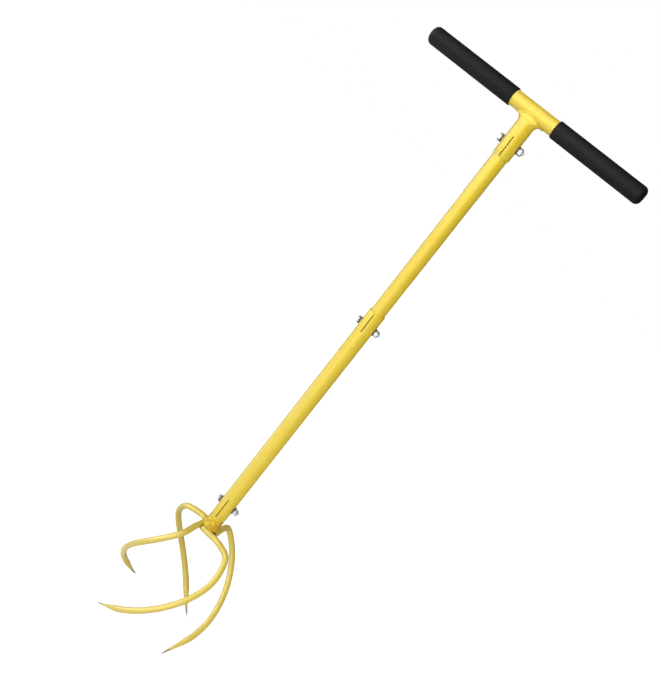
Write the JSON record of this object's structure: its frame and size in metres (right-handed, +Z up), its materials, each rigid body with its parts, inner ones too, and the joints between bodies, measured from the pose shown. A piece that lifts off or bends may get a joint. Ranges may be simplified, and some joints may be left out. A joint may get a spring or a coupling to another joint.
{
  "type": "hand cultivator",
  "caption": "Upright twist tiller: T handle with foam grips on a telescopic steel shaft, above a head of curved, pointed tines.",
  "frame": {"origin": "on the ground, on the shaft axis, midway between the four tine tips, shaft fully drawn out", "axes": "+Z up along the shaft, +X along the crossbar towards the nuts of the clamp bolts, +Y away from the side that the slits' front shows in the picture"},
  "size_m": [0.362, 0.1883, 0.99],
  "materials": {
    "powder_coat": "gloss powder coat over steel tube and rod",
    "foam_grip": "matte closed-cell foam rubber",
    "zinc_plate": "bright zinc plate",
    "black_oxide": "black oxide on steel washers"
  },
  "bodies": {
    "tine_shaft": {"lower_tube": "powder_coat", "hub_stem": "powder_coat", "tine_front": "powder_coat", "tine_right": "powder_coat", "tine_back": "powder_coat", "tine_left": "powder_coat", "height_bolt": "zinc_plate", "height_bolt_washer": "black_oxide", "height_nut_washer": "black_oxide", "height_nut": "zinc_plate", "hub_bolt": "zinc_plate", "hub_bolt_washer": "black_oxide", "hub_nut_washer": "black_oxide", "hub_nut": "zinc_plate"},
    "handle_shaft": {"crossbar": "powder_coat", "grip_left": "foam_grip", "grip_right": "foam_grip", "handle_socket": "powder_coat", "upper_tube": "powder_coat", "handle_bolt": "zinc_plate", "handle_bolt_washer": "black_oxide", "handle_nut_washer": "black_oxide", "handle_nut": "zinc_plate"}
  },
  "joints": [
    {"name": "height_slide", "type": "slide", "parent": "tine_shaft", "child": "handle_shaft", "axis": [0, 0, 1], "range_m": [-0.09, 0]}
  ]
}
